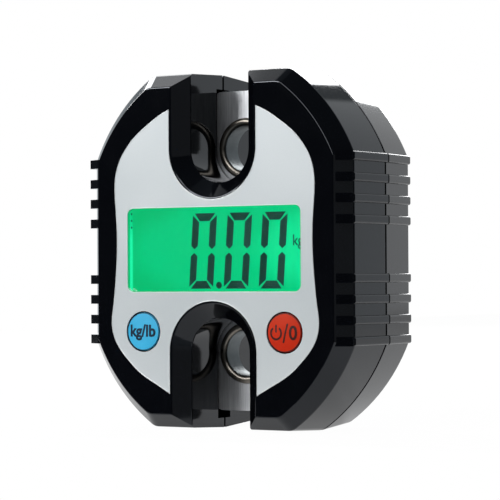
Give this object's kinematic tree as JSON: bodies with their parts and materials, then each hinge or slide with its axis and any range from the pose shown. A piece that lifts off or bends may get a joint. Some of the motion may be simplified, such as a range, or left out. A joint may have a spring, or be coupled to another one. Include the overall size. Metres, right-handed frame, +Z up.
{
  "type": "digital crane scale",
  "caption": "Pocket-size digital hanging scale: notched clamshell case with a display and keys round a steel load cell bar with an eye at each end.",
  "frame": {"origin": "centre of the case's width and depth, at the lowest point of the case", "axes": "+Z up from the lower eye to the upper eye, +X to the right as the face is read, -Y out of the face"},
  "size_m": [0.0876, 0.0405, 0.1],
  "materials": {
    "gloss_black_shell": "gloss black moulded ABS",
    "silver_panel": "satin silver sheet",
    "clear_window": "clear acrylic pane",
    "lcd_glass": "liquid crystal glass lit green from behind",
    "light_guide": "milky light guide with green lamps",
    "contact_rubber": "layered contact rubber",
    "white_frame": "white moulded frame",
    "board_green": "green solder resist over glass-fibre board",
    "chip_black": "black moulding compound",
    "screw_steel": "zinc-plated steel",
    "blue_key": "light blue moulded key",
    "red_key": "red moulded key",
    "switch_body": "black switch housing",
    "plunger_brown": "brown switch button",
    "cell_steel": "bright steel, ground along its length",
    "bush_steel": "dark hardened steel, turned",
    "gauge_foil": "amber foil gauge",
    "battery_jacket": "plain printed jacket over a metal can",
    "contact_nickel": "nickel-plated spring steel"
  },
  "bodies": {
    "case": {"front_shell": "gloss_black_shell", "rear_shell": "gloss_black_shell", "face_panel": "silver_panel", "lcd_window": "clear_window", "lcd_glass": "lcd_glass", "backlight_panel": "light_guide", "contact_strips": "contact_rubber", "lcd_holder": "white_frame", "circuit_board": "board_green", "board_chips": "chip_black", "board_screws": "screw_steel", "unit_switch": "switch_body", "power_switch": "switch_body", "load_cell": "cell_steel", "upper_eye_bush": "bush_steel", "lower_eye_bush": "bush_steel", "strain_gauges": "gauge_foil", "cell_screws": "screw_steel", "case_screws": "screw_steel", "upper_battery": "battery_jacket", "lower_battery": "battery_jacket", "bridge_contact": "contact_nickel", "end_contacts": "contact_nickel", "battery_springs": "contact_nickel"},
    "unit_key_body": {"unit_key": "blue_key", "unit_plunger": "plunger_brown"},
    "power_key_body": {"power_key": "red_key", "power_plunger": "plunger_brown"},
    "door_body": {"battery_door": "gloss_black_shell"}
  },
  "joints": [
    {"name": "unit_key_press", "type": "slide", "parent": "case", "child": "unit_key_body", "axis": [0, 1, 0], "range_m": [0, 0.0005], "stiffness_N_per_m": 2000, "springref_m": -0.0003},
    {"name": "power_key_press", "type": "slide", "parent": "case", "child": "power_key_body", "axis": [0, 1, 0], "range_m": [0, 0.0005], "stiffness_N_per_m": 2000, "springref_m": -0.0003},
    {"name": "battery_door_slide", "type": "slide", "parent": "case", "child": "door_body", "axis": [1, 0, 0], "range_m": [0, 0.062]}
  ]
}
